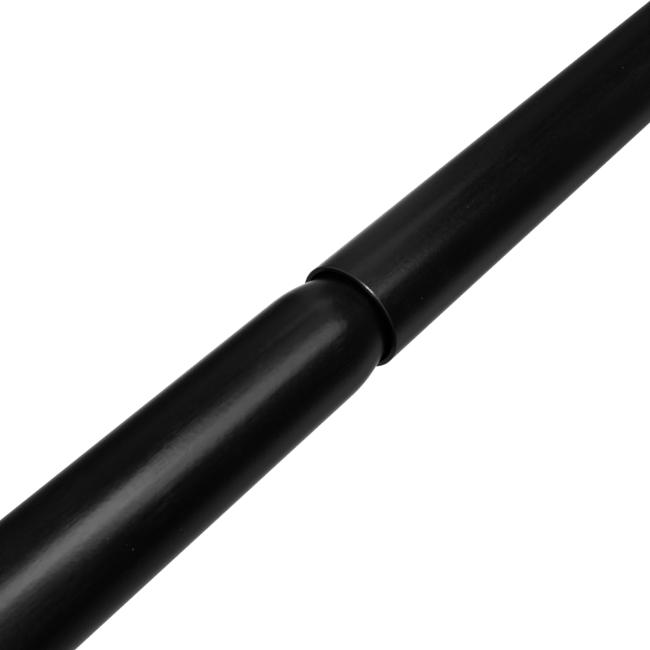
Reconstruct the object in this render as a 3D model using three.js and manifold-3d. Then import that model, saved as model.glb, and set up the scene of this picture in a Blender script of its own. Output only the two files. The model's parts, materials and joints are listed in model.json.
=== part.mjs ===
// Adjustable door security bar: a padded foot on a ball joint, a telescoping tube set, a swaged plug-in joint
// between the two main sections, and a lined yoke that fits under a door knob.
// Millimetres. The bar lies along X with its foot at -X and its yoke at +X, and rests on the plane z = 0.
import * as THREE from 'three';
import { mergeVertices } from 'three/addons/utils/BufferGeometryUtils.js';
import Module from 'manifold-3d';

const wasm = await Module();
wasm.setup();

// ---- Driving dimensions ----
const GAP = 0.3; // between pieces that touch
const AXIS_HEIGHT = 22; // the bar's axis above the floor
const TOTAL_LENGTH = 890; // from the sole to the yoke's tips, with the telescope closed

const TUBE_RADIUS = 16;
const TUBE_WALL = 1.5;
const TUBE_BORE = TUBE_RADIUS - TUBE_WALL;
const SLIM_RADIUS = 12.5;
const SLIM_WALL = 1.5;
const SLIM_BORE = SLIM_RADIUS - SLIM_WALL;

const TELESCOPE_TRAVEL = 240;
const HOLE_PITCH = 20;
const HOLE_RADIUS = 3.9;

// ---- Stations along the bar, measured from the face of the sole ----
const BALL_CENTRE = 28.5;
const PLUG_FACE = 52;
const MAIN_START = 86;
const JOINT = 450; // the socket's rim, where the neck goes in
const SLIM_INSERTION = 330;
const UPPER_END = 820;
const YOKE_START = 772;
const FORK_ROOT = 840;
const SLIM_START = PLUG_FACE + 3 + GAP;
const SLIM_END = MAIN_START + SLIM_INSERTION;
const BUTTON_STATION = SLIM_END - 40;

// ---- Foot ----
const BALL_RADIUS = 11;
const STEM_RADIUS = 3.5;
const LINER_INNER = BALL_RADIUS + GAP;
const LINER_OUTER = 13.2;
const CAVITY_RADIUS = LINER_OUTER + GAP;
const PAD = { width: 76, height: 2 * AXIS_HEIGHT, corner: 10, depth: 15, sole: 9, edge: 1.2 };
const GROOVE = { pitch: 8, pairs: 4, width: 2.4, depth: 2.5 };
const PLATE = { width: 70, height: 40, corner: 7.5, thickness: 2.5 };
const FLANGE = { width: 65, height: 37, corner: 7, thickness: 4, edge: 0.8 };
const BOSS_RADIUS = 18.5;
const FOOT_SCREW = { across: 25, up: 11.5, shank: 1.6, head: 3.2, height: 2, tip: 0.4 };
const PLATE_START = PAD.sole + GAP;
const FLANGE_START = PLATE_START + PLATE.thickness + GAP;
const BOSS_END = 34;

// ---- Yoke ----
const FORK = { halfWidth: 42, mouth: 24.2, thickness: 26, edge: 3 };
const SLEEVE = { halfHeight: AXIS_HEIGHT, halfWidth: 24, corner: 13, edge: 1.5, end: FORK_ROOT - 6 };
const LINING = { outer: 26.7, inner: 23, corner: 14, outerCorner: 17.7, halfHeight: 10, tip: 872 };

// ---- Fineness of the curves ----
const TUBE_SIDES = 32;
const SMALL_SIDES = 24;
const SCREW_SIDES = 10;
const CORNER_STEPS = 4; // each corner of a shape pushed along X
const OUTLINE_STEPS = 6; // each curve of a shape seen from above
const MERGE_DISTANCE = 1e-4;
const OVERCUT = 2; // how far a cutting solid runs past the surface it opens

// ---- Materials ----
const paint = new THREE.MeshStandardMaterial({ color: 0x0b0b0c, roughness: 0.34, metalness: 0.0 });
const moulded = new THREE.MeshStandardMaterial({ color: 0x17181a, roughness: 0.55, metalness: 0.0 });
const rubber = new THREE.MeshStandardMaterial({ color: 0x101010, roughness: 0.85, metalness: 0.0 });
const nylon = new THREE.MeshStandardMaterial({ color: 0xd9d6cc, roughness: 0.5, metalness: 0.0 });
const zinc = new THREE.MeshStandardMaterial({ color: 0xb4b7ba, roughness: 0.32, metalness: 1.0 });
const spring = new THREE.MeshStandardMaterial({ color: 0x8c8f93, roughness: 0.28, metalness: 1.0 });

// ---- Solids ----
const ALONG_X = new THREE.Matrix4().makeBasis(
  new THREE.Vector3(0, 1, 0),
  new THREE.Vector3(0, 0, 1),
  new THREE.Vector3(1, 0, 0),
);

function signedVolume(points, corners) {
  const [a, b, c] = [new THREE.Vector3(), new THREE.Vector3(), new THREE.Vector3()];
  let sum = 0;
  for (let i = 0; i < corners.length; i += 3) {
    a.fromArray(points, 3 * corners[i]);
    b.fromArray(points, 3 * corners[i + 1]);
    c.fromArray(points, 3 * corners[i + 2]);
    sum += a.dot(b.cross(c)) / 6;
  }
  return sum;
}

// A closed geometry as a solid, with shared vertices merged and its faces turned outward.
function solidOf(geometry) {
  const bare = new THREE.BufferGeometry();
  bare.setAttribute('position', geometry.getAttribute('position'));
  bare.setIndex(geometry.getIndex());
  const merged = mergeVertices(bare, MERGE_DISTANCE);
  const points = new Float32Array(merged.getAttribute('position').array);
  const corners = [];
  const index = merged.getIndex().array;
  for (let i = 0; i < index.length; i += 3) {
    const [a, b, c] = index.slice(i, i + 3);
    if (a !== b && b !== c && c !== a) corners.push(a, b, c);
  }
  if (signedVolume(points, corners) < 0) corners.reverse();
  return new wasm.Manifold(new wasm.Mesh({
    numProp: 3,
    vertProperties: points,
    triVerts: new Uint32Array(corners),
  }));
}

function geometryOf(solid) {
  const mesh = solid.getMesh();
  const geometry = new THREE.BufferGeometry();
  geometry.setAttribute('position', new THREE.BufferAttribute(new Float32Array(mesh.vertProperties), 3));
  geometry.setIndex(new THREE.BufferAttribute(new Uint32Array(mesh.triVerts), 1));
  geometry.computeVertexNormals();
  return geometry;
}

// Turns an outline of [station, radius] points about the X axis.
function turned(outline, sides = SMALL_SIDES) {
  const points = outline.map(([station, radius]) => new THREE.Vector2(radius, station));
  return solidOf(new THREE.LatheGeometry(points, sides).rotateZ(-Math.PI / 2));
}

function closed(outline) {
  return [...outline, outline[0]];
}

// A round bar between two stations.
function rod(from, to, radius, sides = SMALL_SIDES) {
  return turned([[from, 0], [from, radius], [to, radius], [to, 0]], sides);
}

// A round ring between two stations.
function ring(from, to, inner, outer, sides = SMALL_SIDES) {
  return turned(closed([[from, inner], [from, outer], [to, outer], [to, inner]]), sides);
}

// Points on an arc about the ball's centre; angles are in degrees from the +X axis.
function ballArc(radius, fromDegrees, toDegrees, steps) {
  return Array.from({ length: steps + 1 }, (_, i) => {
    const angle = THREE.MathUtils.degToRad(THREE.MathUtils.lerp(fromDegrees, toDegrees, i / steps));
    return [BALL_CENTRE + radius * Math.cos(angle), radius * Math.sin(angle)];
  });
}

function roundedRectangle(halfWidth, halfHeight, corner) {
  const shape = new THREE.Shape();
  shape.absarc(halfWidth - corner, halfHeight - corner, corner, 0, Math.PI / 2);
  shape.absarc(corner - halfWidth, halfHeight - corner, corner, Math.PI / 2, Math.PI);
  shape.absarc(corner - halfWidth, corner - halfHeight, corner, Math.PI, 1.5 * Math.PI);
  shape.absarc(halfWidth - corner, corner - halfHeight, corner, 1.5 * Math.PI, 2 * Math.PI);
  shape.closePath();
  return shape;
}

// A shape in the YZ plane, pushed along X between two stations, with optional bevelled ends.
function pushed(shape, from, to, bevel = 0) {
  const geometry = new THREE.ExtrudeGeometry(shape, {
    depth: to - from - 2 * bevel,
    bevelEnabled: bevel > 0,
    bevelThickness: bevel,
    bevelSize: bevel,
    bevelOffset: -bevel,
    bevelSegments: 1,
    curveSegments: CORNER_STEPS,
  });
  return solidOf(geometry.applyMatrix4(ALONG_X).translate(from + bevel, 0, 0));
}

// A shape in the XY plane, thickened evenly about z = 0.
function plate(shape, thickness, bevel = 0) {
  const geometry = new THREE.ExtrudeGeometry(shape, {
    depth: thickness - 2 * bevel,
    bevelEnabled: bevel > 0,
    bevelThickness: bevel,
    bevelSize: bevel,
    bevelOffset: -bevel,
    bevelSegments: 2,
    curveSegments: OUTLINE_STEPS,
  });
  return solidOf(geometry.translate(0, 0, bevel - thickness / 2));
}

function union(first, ...rest) {
  return rest.reduce((sum, next) => sum.add(next), first);
}

function cut(solid, ...tools) {
  return tools.reduce((rest, tool) => rest.subtract(tool), solid);
}

const bar = new THREE.Group();
bar.name = 'door_security_bar';
bar.position.set(-TOTAL_LENGTH / 2, 0, AXIS_HEIGHT);

function addPiece(name, material, solid, parent = bar) {
  const mesh = new THREE.Mesh(geometryOf(solid), material);
  mesh.name = name;
  parent.add(mesh);
  return mesh;
}

// A radial tool or pin: a rod about X, stood up along +Y at a station.
function alongY(solid, station) {
  return solid.rotate([0, 0, 90]).translate([station, 0, 0]);
}

// The same, stood up along +Z.
function alongZ(solid, station) {
  return solid.rotate([0, -90, 0]).translate([station, 0, 0]);
}

// Clearance holes for a screw and its twin on the far side, drilled along Z.
function holePair({ station, shank }, from, to) {
  const hole = alongZ(rod(from, to, shank + GAP, SCREW_SIDES), station);
  return [hole, hole.rotate([180, 0, 0])];
}

// A pan-head screw along X, from its tip to a seat that its head stands just clear of.
function panScrew({ shank, head, height }, tip, seat) {
  const base = seat + GAP / 2;
  return turned([
    [tip, 0],
    [tip, shank],
    [base, shank],
    [base, head],
    [base + 0.6 * height, 0.93 * head],
    [base + height, 0.55 * head],
    [base + height, 0],
  ], SCREW_SIDES);
}

// ---- Swaged joint ----
const NECK = { radius: 13.2, start: JOINT + 4, end: JOINT + 62, chamfer: 2 };
const BEAD = { radius: 14.35, stations: [JOINT + 14, JOINT + 46], crest: 1, foot: 2.5 };
const SHOULDER = { start: -1.05, length: 1.25, drop: 0.175, skew: 1.35, steps: 7 };

// The shoulder rounds off slowly and then falls into the socket. Its figures are shares of the tube's radius,
// measured from the rim plane.
function shoulderOutline() {
  return Array.from({ length: SHOULDER.steps + 1 }, (_, i) => {
    const along = SHOULDER.start * (1 - i / SHOULDER.steps);
    const part = ((along - SHOULDER.start) / SHOULDER.length) ** SHOULDER.skew;
    const share = 1 - SHOULDER.drop * THREE.MathUtils.smoothstep(part, 0, 1);
    return [JOINT + along * TUBE_RADIUS, share * TUBE_RADIUS];
  });
}

// The neck's outer surface, with two rolled beads that take up its play in the socket.
function neckOutline() {
  const beads = BEAD.stations.flatMap((station) => [
    [station - BEAD.foot, NECK.radius],
    [station - BEAD.crest, BEAD.radius],
    [station + BEAD.crest, BEAD.radius],
    [station + BEAD.foot, NECK.radius],
  ]);
  return [[NECK.start, NECK.radius], ...beads, [NECK.end - NECK.chamfer, NECK.radius]];
}

function mainTube() {
  const tip = [NECK.end, NECK.radius - NECK.chamfer / 3];
  const outside = [[MAIN_START, TUBE_RADIUS], ...shoulderOutline(), ...neckOutline(), tip];
  const shoulderBore = shoulderOutline().reverse().map(([station, radius]) => [station, radius - TUBE_WALL]);
  const neckBore = NECK.radius - TUBE_WALL;
  const inside = [[NECK.end, neckBore], [NECK.start, neckBore], ...shoulderBore, [MAIN_START, TUBE_BORE]];
  const tube = turned(closed([...outside, ...inside]), TUBE_SIDES);
  const drill = rod(TUBE_BORE - OVERCUT, TUBE_RADIUS + OVERCUT, HOLE_RADIUS, SCREW_SIDES);
  const holes = [];
  for (let travel = 0; travel <= TELESCOPE_TRAVEL; travel += HOLE_PITCH) {
    holes.push(alongY(drill, BUTTON_STATION - travel));
  }
  return cut(tube, ...holes, ...collarScrewHoles());
}

function upperTube() {
  const rim = 0.5; // the cut end's corners are broken
  return turned(closed([
    [JOINT, TUBE_BORE + rim / 2],
    [JOINT, TUBE_RADIUS - rim],
    [JOINT + rim, TUBE_RADIUS],
    [UPPER_END - rim, TUBE_RADIUS],
    [UPPER_END, TUBE_RADIUS - rim],
    [UPPER_END, TUBE_BORE],
    [JOINT + rim / 2, TUBE_BORE],
  ]), TUBE_SIDES);
}

// ---- End collar and guide bushing ----
const COLLAR = { start: MAIN_START - 4, end: 124, radius: 19.5, brow: 3, taper: 8, lip: 1.4 };
const BUSHING_LENGTH = 34;
const COLLAR_SCREW = { station: 106, tip: SLIM_RADIUS + 0.8, shank: 1.5, head: 3, height: 1.5 };

function collarScrewHoles() {
  return holePair(COLLAR_SCREW, TUBE_BORE - 2 * OVERCUT, COLLAR.radius + OVERCUT);
}

function endCollar() {
  const bore = TUBE_RADIUS + GAP;
  const body = turned(closed([
    [COLLAR.start, SLIM_RADIUS + GAP],
    [COLLAR.start, COLLAR.radius - COLLAR.brow],
    [COLLAR.start + COLLAR.brow / 3, COLLAR.radius - COLLAR.brow / 3],
    [COLLAR.start + COLLAR.brow, COLLAR.radius],
    [COLLAR.end - COLLAR.taper, COLLAR.radius],
    [COLLAR.end, TUBE_RADIUS + COLLAR.lip],
    [COLLAR.end, bore],
    [MAIN_START - GAP, bore],
    [MAIN_START - GAP, SLIM_RADIUS + GAP],
  ]), TUBE_SIDES);
  return cut(body, ...collarScrewHoles());
}

function guideBushing() {
  const end = MAIN_START + BUSHING_LENGTH;
  const body = ring(MAIN_START + GAP, end, SLIM_RADIUS + GAP, TUBE_BORE - GAP, TUBE_SIDES);
  return cut(body, ...collarScrewHoles());
}

// ---- Adjusting tube and what it carries ----
function adjustingTube() {
  const tube = ring(SLIM_START, SLIM_END, SLIM_BORE, SLIM_RADIUS, TUBE_SIDES);
  const drill = rod(SLIM_BORE - OVERCUT, SLIM_RADIUS + OVERCUT, HOLE_RADIUS, SCREW_SIDES);
  return cut(tube, alongY(drill, BUTTON_STATION), ...plugScrewHoles());
}

const GLIDE = { insertion: 20, end: SLIM_END + 8, wall: 1.9, chamfer: 1 };

function tubeGlide() {
  const bore = SLIM_BORE - GAP - GLIDE.wall;
  return turned(closed([
    [SLIM_END - GLIDE.insertion, bore],
    [SLIM_END - GLIDE.insertion, SLIM_BORE - GAP],
    [SLIM_END + GAP, SLIM_BORE - GAP],
    [SLIM_END + GAP, TUBE_BORE - GAP],
    [GLIDE.end - GLIDE.chamfer, TUBE_BORE - GAP],
    [GLIDE.end, TUBE_BORE - GAP - GLIDE.chamfer],
    [GLIDE.end, bore],
  ]), TUBE_SIDES);
}

const BUTTON = { base: 8.2, flange: 1.2, flangeRadius: 5, radius: 3.6, shoulder: 16.2, top: 17.8 };

function lengthButton() {
  const dome = BUTTON.top - BUTTON.shoulder;
  const body = turned([
    [BUTTON.base, 0],
    [BUTTON.base, BUTTON.flangeRadius],
    [BUTTON.base + BUTTON.flange, BUTTON.flangeRadius],
    [BUTTON.base + BUTTON.flange, BUTTON.radius],
    [BUTTON.shoulder, BUTTON.radius],
    [BUTTON.shoulder + 0.6 * dome, 0.78 * BUTTON.radius],
    [BUTTON.shoulder + 0.9 * dome, 0.4 * BUTTON.radius],
    [BUTTON.top, 0],
  ]);
  return alongY(body, BUTTON_STATION);
}

// A hairpin leaf spring: one arm under the button, a round bend, one arm along the far wall.
const LEAF = { thickness: 0.8, width: 7, floor: -9.9, bend: BUTTON_STATION - 26, tip: BUTTON_STATION + 9 };

function buttonSpring() {
  const { thickness, tip } = LEAF;
  const upper = BUTTON.base - GAP;
  const lower = LEAF.floor;
  const middle = (upper + lower) / 2;
  const outerBend = (upper - lower) / 2;
  const shape = new THREE.Shape();
  shape.moveTo(tip, upper);
  shape.lineTo(LEAF.bend, upper);
  shape.absarc(LEAF.bend, middle, outerBend, Math.PI / 2, 1.5 * Math.PI);
  shape.lineTo(tip, lower);
  shape.lineTo(tip, lower + thickness);
  shape.lineTo(LEAF.bend, lower + thickness);
  shape.absarc(LEAF.bend, middle, outerBend - thickness, 1.5 * Math.PI, Math.PI / 2, true);
  shape.lineTo(tip, upper - thickness);
  shape.closePath();
  return plate(shape, LEAF.width);
}

// ---- Lower plug and ball stud ----
const PLUG = { cap: 3, chamfer: 1, end: 77 };
const PLUG_SCREW = { station: 63, tip: 5.6, shank: 1.3, head: 2.5, height: 1.1 };

function plugScrewHoles() {
  return holePair(PLUG_SCREW, PLUG_SCREW.tip - GAP, SLIM_RADIUS + OVERCUT);
}

function footPlug() {
  const bore = STEM_RADIUS + GAP;
  const body = turned(closed([
    [PLUG_FACE, bore],
    [PLUG_FACE, SLIM_RADIUS - PLUG.chamfer],
    [PLUG_FACE + PLUG.chamfer, SLIM_RADIUS],
    [PLUG_FACE + PLUG.cap, SLIM_RADIUS],
    [PLUG_FACE + PLUG.cap, SLIM_BORE - GAP],
    [PLUG.end, SLIM_BORE - GAP],
    [PLUG.end, bore],
  ]));
  return cut(body, ...plugScrewHoles());
}

const STUD = { collar: 2.4, collarRadius: 6.5, threadRadius: 3, chamfer: 0.6, end: PLUG.end + 9.5 };

function ballStud() {
  const neckAngle = THREE.MathUtils.radToDeg(Math.asin(STEM_RADIUS / BALL_RADIUS));
  const collarEnd = PLUG_FACE - GAP;
  return turned([
    ...ballArc(BALL_RADIUS, 180, neckAngle, 10),
    [collarEnd - STUD.collar, STEM_RADIUS],
    [collarEnd - STUD.collar, STUD.collarRadius],
    [collarEnd, STUD.collarRadius],
    [collarEnd, STEM_RADIUS],
    [PLUG.end + GAP, STEM_RADIUS],
    [PLUG.end + GAP, STUD.threadRadius],
    [STUD.end - STUD.chamfer, STUD.threadRadius],
    [STUD.end, STUD.threadRadius - STUD.chamfer],
    [STUD.end, 0],
  ]);
}

const WASHER = { start: PLUG.end + 2 * GAP, thickness: 1.4, radius: 7.5 };
const NUT = { height: 5, corners: 6.3 };

function studWasher() {
  return ring(WASHER.start, WASHER.start + WASHER.thickness, STUD.threadRadius + GAP, WASHER.radius);
}

function studNut() {
  const start = WASHER.start + WASHER.thickness + GAP;
  const hexagon = rod(start, start + NUT.height, NUT.corners, 6);
  return cut(hexagon, rod(start - OVERCUT, start + NUT.height + OVERCUT, STUD.threadRadius + GAP));
}

// ---- Foot ----
function socketLiner() {
  return turned(closed([
    ...ballArc(LINER_OUTER, 150, 60, 7),
    ...ballArc(LINER_INNER, 60, 150, 7),
  ]), TUBE_SIDES);
}

const RING = { top: BALL_CENTRE + 9.5, mouth: 13.8, brow: 1.1, mouthDegrees: 59 };
const THREAD_RADIUS = 14.9;

function footSocket() {
  const flangeShape = roundedRectangle(FLANGE.width / 2, FLANGE.height / 2, FLANGE.corner);
  const flange = pushed(flangeShape, FLANGE_START, FLANGE_START + FLANGE.thickness, FLANGE.edge);
  const boss = rod(FLANGE_START, BOSS_END, BOSS_RADIUS, TUBE_SIDES);
  const cavity = turned([
    ...ballArc(CAVITY_RADIUS, 180, 90, 7),
    [BALL_CENTRE, THREAD_RADIUS + GAP],
    [BOSS_END + OVERCUT, THREAD_RADIUS + GAP],
    [BOSS_END + OVERCUT, 0],
  ], TUBE_SIDES);
  return cut(union(flange, boss), cavity, ...footScrewHoles());
}

function retainingRing() {
  return turned(closed([
    ...ballArc(CAVITY_RADIUS, 89, RING.mouthDegrees, 3),
    [RING.top, RING.mouth],
    [RING.top, BOSS_RADIUS - RING.brow],
    [RING.top - RING.brow, BOSS_RADIUS],
    [BOSS_END + GAP, BOSS_RADIUS],
    [BOSS_END + GAP, THREAD_RADIUS],
    [BALL_CENTRE + GAP, THREAD_RADIUS],
  ]), TUBE_SIDES);
}

function footPlate() {
  const outline = roundedRectangle(PLATE.width / 2, PLATE.height / 2, PLATE.corner);
  return cut(pushed(outline, PLATE_START, PLATE_START + PLATE.thickness), ...footScrewHoles());
}

function footPad() {
  const outline = roundedRectangle(PAD.width / 2, PAD.height / 2, PAD.corner);
  const recess = roundedRectangle(PLATE.width / 2 + GAP, PLATE.height / 2 + GAP, PLATE.corner);
  const grooves = [];
  for (let pair = 0; pair < GROOVE.pairs; pair += 1) {
    const offset = (pair + 0.5) * GROOVE.pitch;
    for (const y of [-offset, offset]) {
      const slot = new THREE.BoxGeometry(2 * GROOVE.depth, GROOVE.width, PAD.height + OVERCUT);
      grooves.push(solidOf(slot.translate(0, y, 0)));
    }
  }
  const block = pushed(outline, 0, PAD.depth, PAD.edge);
  return cut(block, pushed(recess, PAD.sole, PAD.depth + OVERCUT), ...grooves);
}

function footScrewPlaces() {
  const places = [];
  for (const y of [-FOOT_SCREW.across, FOOT_SCREW.across]) {
    for (const z of [-FOOT_SCREW.up, FOOT_SCREW.up]) places.push([y, z]);
  }
  return places;
}

function footScrewHoles() {
  const end = FLANGE_START + FLANGE.thickness + OVERCUT;
  const hole = rod(PLATE_START - OVERCUT, end, FOOT_SCREW.shank + GAP, SCREW_SIDES);
  return footScrewPlaces().map(([y, z]) => hole.translate([0, y, z]));
}

function footScrew() {
  return panScrew(FOOT_SCREW, PLATE_START + FOOT_SCREW.tip, FLANGE_START + FLANGE.thickness);
}

// ---- Upper end: bumper and yoke ----
const BUMPER = { insertion: 18, chamfer: 0.7, radius: TUBE_RADIUS - 0.4, rim: UPPER_END + 3, crown: 3 };

function topBumper() {
  const crownEnd = BUMPER.rim + BUMPER.crown;
  const start = UPPER_END - BUMPER.insertion;
  return turned([
    [start, 0],
    [start, TUBE_BORE - GAP - BUMPER.chamfer],
    [start + BUMPER.chamfer, TUBE_BORE - GAP],
    [UPPER_END + GAP, TUBE_BORE - GAP],
    [UPPER_END + GAP, BUMPER.radius],
    [BUMPER.rim, BUMPER.radius],
    [crownEnd - BUMPER.crown / 3, BUMPER.radius - BUMPER.crown / 2],
    [crownEnd, BUMPER.radius - 1.5 * BUMPER.crown],
    [crownEnd, 0],
  ], TUBE_SIDES);
}

// The U outline of the mouth: half width, root station, root corner radius, and where its sides end.
function mouthOutline(halfWidth, root, corner, end) {
  const shape = new THREE.Shape();
  shape.moveTo(end, halfWidth);
  shape.lineTo(root + corner, halfWidth);
  shape.absarc(root + corner, halfWidth - corner, corner, Math.PI / 2, Math.PI);
  shape.lineTo(root, corner - halfWidth);
  shape.absarc(root + corner, corner - halfWidth, corner, Math.PI, 1.5 * Math.PI);
  shape.lineTo(end, -halfWidth);
  shape.closePath();
  return shape;
}

const GRIP = { start: YOKE_START + 12, end: YOKE_START + 18, outer: 18.4 };

function yokeBody() {
  const sleeveShape = roundedRectangle(SLEEVE.halfWidth, SLEEVE.halfHeight, SLEEVE.corner);
  const sleeve = pushed(sleeveShape, YOKE_START, SLEEVE.end, SLEEVE.edge);
  const fork = plate(forkShape(), FORK.thickness, FORK.edge);
  const socketEnd = BUMPER.rim + BUMPER.crown + OVERCUT;
  const socket = rod(YOKE_START - OVERCUT, socketEnd, TUBE_RADIUS + GAP, TUBE_SIDES);
  const groove = rod(GRIP.start - GAP, GRIP.end + GAP, GRIP.outer + GAP, TUBE_SIDES);
  const pocketShape = mouthOutline(LINING.outer + GAP, FORK_ROOT, LINING.outerCorner + GAP, LINING.tip + GAP);
  const pocket = plate(pocketShape, 2 * (LINING.halfHeight + GAP));
  return cut(union(sleeve, fork), socket, groove, pocket);
}

// The fork seen from above: a waist that widens from the sleeve into two prongs with round tips.
function forkShape() {
  const { halfWidth, mouth } = FORK;
  const base = YOKE_START + 34;
  const cheek = FORK_ROOT + 2;
  const tipRadius = 7.5;
  const tipStation = TOTAL_LENGTH - tipRadius;
  const tipCentre = halfWidth - 1.5 - tipRadius;
  const root = FORK_ROOT + 2.8;
  const corner = LINING.corner + 1.2;
  const shape = new THREE.Shape();
  shape.moveTo(base, 3 - SLEEVE.halfWidth);
  shape.bezierCurveTo(base + 14, -SLEEVE.halfWidth, cheek - 16, -halfWidth, cheek, -halfWidth);
  shape.lineTo(tipStation, -tipCentre - tipRadius);
  shape.absarc(tipStation, -tipCentre, tipRadius, -Math.PI / 2, Math.PI / 2);
  shape.lineTo(tipStation - 5, -mouth);
  shape.lineTo(root + corner, -mouth);
  shape.absarc(root + corner, corner - mouth, corner, 1.5 * Math.PI, Math.PI, true);
  shape.absarc(root + corner, mouth - corner, corner, Math.PI, Math.PI / 2, true);
  shape.lineTo(tipStation - 5, mouth);
  shape.lineTo(tipStation, tipCentre - tipRadius);
  shape.absarc(tipStation, tipCentre, tipRadius, -Math.PI / 2, Math.PI / 2);
  shape.lineTo(cheek, halfWidth);
  shape.bezierCurveTo(cheek - 16, halfWidth, base + 14, SLEEVE.halfWidth, base, SLEEVE.halfWidth - 3);
  shape.closePath();
  return shape;
}

function yokeLining() {
  const back = FORK_ROOT + GAP;
  const face = back + LINING.outer - LINING.inner;
  const outer = mouthOutline(LINING.outer, back, LINING.outerCorner, LINING.tip);
  const inner = mouthOutline(LINING.inner, face, LINING.corner, LINING.tip + OVERCUT);
  return cut(plate(outer, 2 * LINING.halfHeight), plate(inner, 2 * LINING.halfHeight + OVERCUT));
}

function gripRing() {
  return ring(GRIP.start, GRIP.end, TUBE_RADIUS + GAP, GRIP.outer, TUBE_SIDES);
}

// ---- The assembly ----
const foot = new THREE.Group();
const mainSection = new THREE.Group();
const upperSection = new THREE.Group();
bar.add(foot, mainSection, upperSection);

addPiece('foot_pad', rubber, footPad(), foot);
addPiece('foot_plate', zinc, footPlate(), foot);
addPiece('foot_socket', moulded, footSocket(), foot);
addPiece('retaining_ring', moulded, retainingRing(), foot);
addPiece('socket_liner', nylon, socketLiner(), foot);
footScrewPlaces().forEach(([y, z], number) => {
  addPiece(`foot_screw_${number + 1}`, zinc, footScrew(), foot).position.set(0, y, z);
});

addPiece('ball_stud', zinc, ballStud());
addPiece('stud_washer', zinc, studWasher());
addPiece('stud_nut', zinc, studNut());
addPiece('foot_plug', moulded, footPlug());
addPiece('adjusting_tube', paint, adjustingTube());
addPiece('tube_glide', nylon, tubeGlide());
addPiece('length_button', zinc, lengthButton());
addPiece('button_spring', spring, buttonSpring());

addPiece('main_tube', paint, mainTube(), mainSection);
addPiece('end_collar', moulded, endCollar(), mainSection);
addPiece('guide_bushing', nylon, guideBushing(), mainSection);

// Each radial screw is turned about X, so it is stood up along +Z or -Z at its station.
for (const [side, turn] of [['top', -Math.PI / 2], ['bottom', Math.PI / 2]]) {
  const screws = [
    [`plug_screw_${side}`, PLUG_SCREW, SLIM_RADIUS, bar],
    [`collar_screw_${side}`, COLLAR_SCREW, COLLAR.radius, mainSection],
  ];
  for (const [name, sizes, seat, parent] of screws) {
    const screw = addPiece(name, zinc, panScrew(sizes, sizes.tip, seat), parent);
    screw.position.x = sizes.station;
    screw.rotation.y = turn;
  }
}

addPiece('upper_tube', paint, upperTube(), upperSection);
addPiece('top_bumper', rubber, topBumper(), upperSection);
addPiece('yoke_body', moulded, yokeBody(), upperSection);
addPiece('yoke_lining', rubber, yokeLining(), upperSection);
addPiece('grip_ring', rubber, gripRing(), upperSection);

export default bar;
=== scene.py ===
"""Looks for a door security bar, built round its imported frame.

Metres. The bar lies along X with its foot at -X and its yoke at +X, and its tubes share one axis.
"""

import json
import math

import bmesh
import bpy
from mathutils import Matrix, Vector


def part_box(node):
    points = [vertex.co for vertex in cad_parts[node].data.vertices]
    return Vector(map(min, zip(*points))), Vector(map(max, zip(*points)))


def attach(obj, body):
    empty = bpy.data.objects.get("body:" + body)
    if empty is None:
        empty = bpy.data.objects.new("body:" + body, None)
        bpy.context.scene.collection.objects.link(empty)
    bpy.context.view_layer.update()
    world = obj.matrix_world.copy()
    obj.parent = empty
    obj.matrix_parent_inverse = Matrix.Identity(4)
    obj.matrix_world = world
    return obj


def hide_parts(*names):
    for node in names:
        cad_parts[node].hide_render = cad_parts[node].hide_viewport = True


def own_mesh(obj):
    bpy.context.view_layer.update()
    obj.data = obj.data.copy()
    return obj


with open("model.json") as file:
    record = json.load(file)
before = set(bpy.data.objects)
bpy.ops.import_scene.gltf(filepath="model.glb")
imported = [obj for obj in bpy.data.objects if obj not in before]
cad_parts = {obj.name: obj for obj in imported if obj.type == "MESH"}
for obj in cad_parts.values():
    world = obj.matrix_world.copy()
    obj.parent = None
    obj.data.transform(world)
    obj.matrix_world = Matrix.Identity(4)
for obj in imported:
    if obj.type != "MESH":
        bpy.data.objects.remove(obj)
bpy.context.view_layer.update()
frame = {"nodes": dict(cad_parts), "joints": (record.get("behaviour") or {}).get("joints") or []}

MM = 0.001
TURN = 2 * math.pi
FINE = 160  # sides of the main tubes
MEDIUM = 96  # sides of the larger turned pieces
COARSE = 72  # sides of small turned pieces
DRILL_SIDES = 36
LOFT_SIDES = 192
MERGE = 1e-6


# ---- Places read from the frame ----
def span(node):
    """The two ends of a turned node along the bar, and its outer radius."""
    low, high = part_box(node)
    return low.x, high.x, (high.z - low.z) / 2


def middle(node):
    low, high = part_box(node)
    return (low + high) / 2


def travel_of(joint_name):
    """How far a slide joint goes."""
    joint = next(j for j in frame["joints"] if j["name"] == joint_name)
    return max(joint["range_m"])


JOINT, UPPER_END, TUBE_RADIUS = span("upper_tube")
AXIS_HEIGHT = middle("upper_tube").z
ON_AXIS = Matrix.Translation((0, 0, AXIS_HEIGHT))
TUBE_WALL = 1.5 * MM
TUBE_BORE = TUBE_RADIUS - TUBE_WALL
GAP = 0.3 * MM  # between pieces that touch
BUTTON_HOLE = 3.9 * MM
HOLE_PITCH = 20 * MM


# ---- Outlines ----
def rounded(outline, steps=4):
    """A closed outline of (along, out) corners; a third figure rounds that corner by so much."""
    points = []
    for i, corner in enumerate(outline):
        here = Vector(corner[:2])
        if len(corner) == 2:
            points.append(here)
            continue
        before = Vector(outline[i - 1][:2]) - here
        after = Vector(outline[(i + 1) % len(outline)][:2]) - here
        start = here + before.normalized() * min(corner[2], before.length * 0.48)
        end = here + after.normalized() * min(corner[2], after.length * 0.48)
        for step in range(steps + 1):
            t = step / steps
            points.append(start * (1 - t) ** 2 + here * 2 * t * (1 - t) + end * t * t)
    return points


def arc(centre, radius, start, end, steps):
    """Points on an arc in an outline's plane; angles in degrees from the +X direction."""
    made = []
    for i in range(steps + 1):
        angle = math.radians(start + (end - start) * i / steps)
        made.append((centre[0] + radius * math.cos(angle), centre[1] + radius * math.sin(angle)))
    return made


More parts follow.
